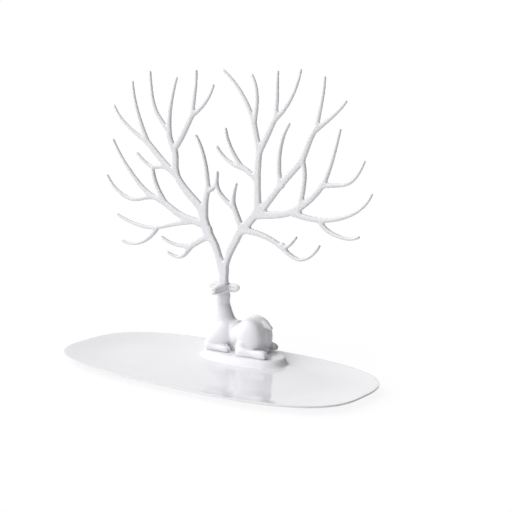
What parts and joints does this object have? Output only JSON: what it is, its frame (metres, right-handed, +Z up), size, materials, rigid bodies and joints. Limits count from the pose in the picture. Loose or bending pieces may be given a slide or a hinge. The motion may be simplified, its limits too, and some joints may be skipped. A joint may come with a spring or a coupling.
{
  "type": "jewelry tree",
  "caption": "White jewelry stand: a flat branching tree rises from the head of a lying fawn on a shallow oval tray, for hanging necklaces and laying down rings.",
  "frame": {"origin": "middle of the tray's oval, on the surface that the foot pads stand on", "axes": "+X along the tray towards the fawn's tail end, -Y towards the front of the tray, +Z up"},
  "size_m": [0.2682, 0.119, 0.2183],
  "materials": {
    "tray": "moulded white plastic, high gloss",
    "fawn": "moulded white plastic, high gloss",
    "tree": "moulded white plastic, satin gloss",
    "pads": "soft pale silicone"
  },
  "bodies": {
    "tray": {"tray": "tray", "foot_front_left": "pads", "foot_rear_left": "pads", "foot_front_right": "pads", "foot_rear_right": "pads"},
    "fawn": {"deer_left_shell": "fawn", "deer_right_shell": "fawn", "deer_head": "fawn"},
    "tree": {"antler_tree": "tree"}
  },
  "joints": [
    {"name": "fawn_lift", "type": "slide", "parent": "tray", "child": "fawn", "axis": [0, 0, 1], "range_m": [0, 0.01]},
    {"name": "tree_lift", "type": "slide", "parent": "fawn", "child": "tree", "axis": [0, 0, 1], "range_m": [0, 0.034]}
  ]
}
